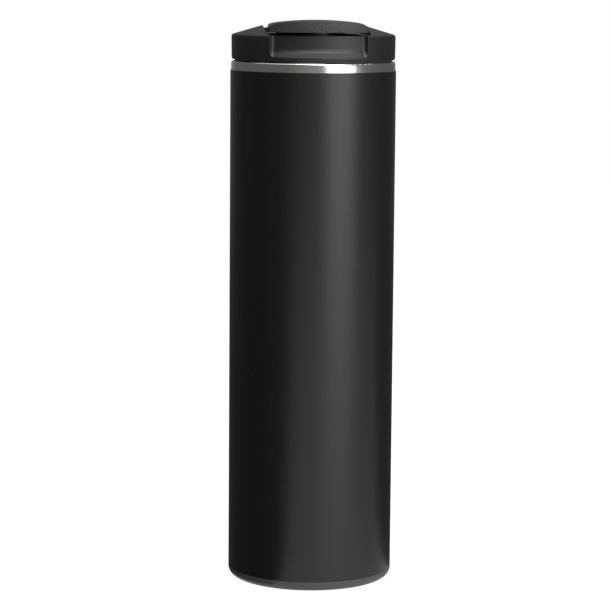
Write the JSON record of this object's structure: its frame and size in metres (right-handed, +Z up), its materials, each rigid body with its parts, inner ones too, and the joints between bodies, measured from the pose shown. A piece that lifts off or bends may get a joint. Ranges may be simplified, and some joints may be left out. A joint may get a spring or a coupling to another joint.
{
  "type": "vacuum flask",
  "caption": "Slim vacuum flask: double steel wall, bare mouth band, screw lid with a flip-up drinking lever.",
  "frame": {"origin": "centre of the base on the surface the flask stands on", "axes": "+Z up along the flask's axis, the lid's finger scoop faces -Y, the lever hinge is at +Y"},
  "size_m": [0.073, 0.073, 0.2486],
  "materials": {
    "powder_coat": "fine matte powder coat",
    "brushed_steel": "turned and brushed",
    "pressed_steel": "bare pressed sheet",
    "pin_steel": "ground bar",
    "copper": "bright foil",
    "solder": "dull solder",
    "getter_metal": "sintered pill",
    "base_plastic": "matte",
    "tape_foam": "closed-cell foam tape",
    "silicone": "satin silicone",
    "plug_plastic": "satin moulding",
    "foam": "expanded bead foam",
    "lid_plastic": "satin moulding",
    "soft_touch": "stippled soft touch"
  },
  "bodies": {
    "flask": {"outer_shell": "powder_coat", "inner_liner": "brushed_steel", "liner_bottom": "brushed_steel", "copper_foil": "copper", "shell_bottom": "pressed_steel", "vacuum_seal": "solder", "getter_clip": "pressed_steel", "getter": "getter_metal", "base_cap": "base_plastic", "base_tape": "tape_foam"},
    "lid_seal": {"main_gasket": "silicone"},
    "lid": {"lid_plug": "plug_plastic", "plug_floor": "plug_plastic", "lid_insulation": "foam", "drink_tube": "plug_plastic", "vent_tube": "plug_plastic", "lid_shell": "lid_plastic", "hinge_pin": "pin_steel"},
    "lever": {"lever_core": "lid_plastic", "lever_cover": "soft_touch", "stopper_peg": "plug_plastic", "drink_stopper": "silicone", "vent_stopper": "silicone"}
  },
  "joints": [
    {"name": "lid_lift", "type": "slide", "parent": "flask", "child": "lid_seal", "axis": [0, 0, 1], "range_m": [0, 0.0181]},
    {"name": "lid_turn", "type": "hinge", "parent": "lid_seal", "child": "lid", "pos_m": [0, 0, 0.2304], "axis": [0, 0, 1], "range_deg": [0, 720]},
    {"name": "lever_flip", "type": "hinge", "parent": "lid", "child": "lever", "pos_m": [0, 0.0225, 0.24], "axis": [-1, 0, 0], "range_deg": [0, 100]}
  ],
  "couplings": [
    {"joint": "lid_lift", "follows": "lid_turn", "m_per_rad": 0.0014324}
  ]
}
